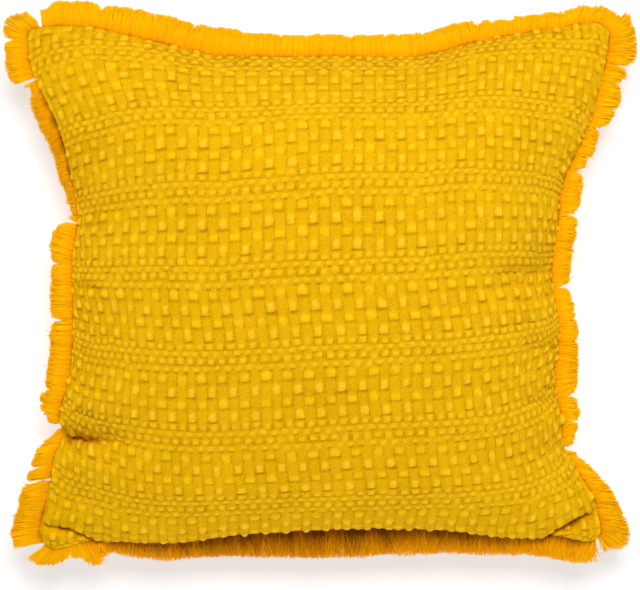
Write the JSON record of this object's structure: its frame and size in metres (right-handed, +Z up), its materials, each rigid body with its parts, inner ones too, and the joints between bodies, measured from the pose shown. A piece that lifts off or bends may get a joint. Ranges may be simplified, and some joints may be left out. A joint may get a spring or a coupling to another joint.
{
  "type": "fringed cushion",
  "caption": "Square filled scatter cushion with a textured woven cover and a brush fringe in its four side seams, lying on its back.",
  "frame": {"origin": "on the floor, under the middle of the outline that the fringe makes", "axes": "+Z up out of the cushion's face, +Y towards its top edge, +X towards its right side as the face is seen"},
  "size_m": [0.534, 0.4872, 0.1781],
  "materials": {
    "cover": "matt hand-woven cotton in bands of large and small basket weave, golden yellow",
    "fringe": "brushed cotton threads, warm golden yellow"
  },
  "bodies": {
    "root": {"cushion_body": "cover", "fringe_top": "fringe", "fringe_bottom": "fringe", "fringe_left": "fringe", "fringe_right": "fringe"}
  },
  "joints": []
}
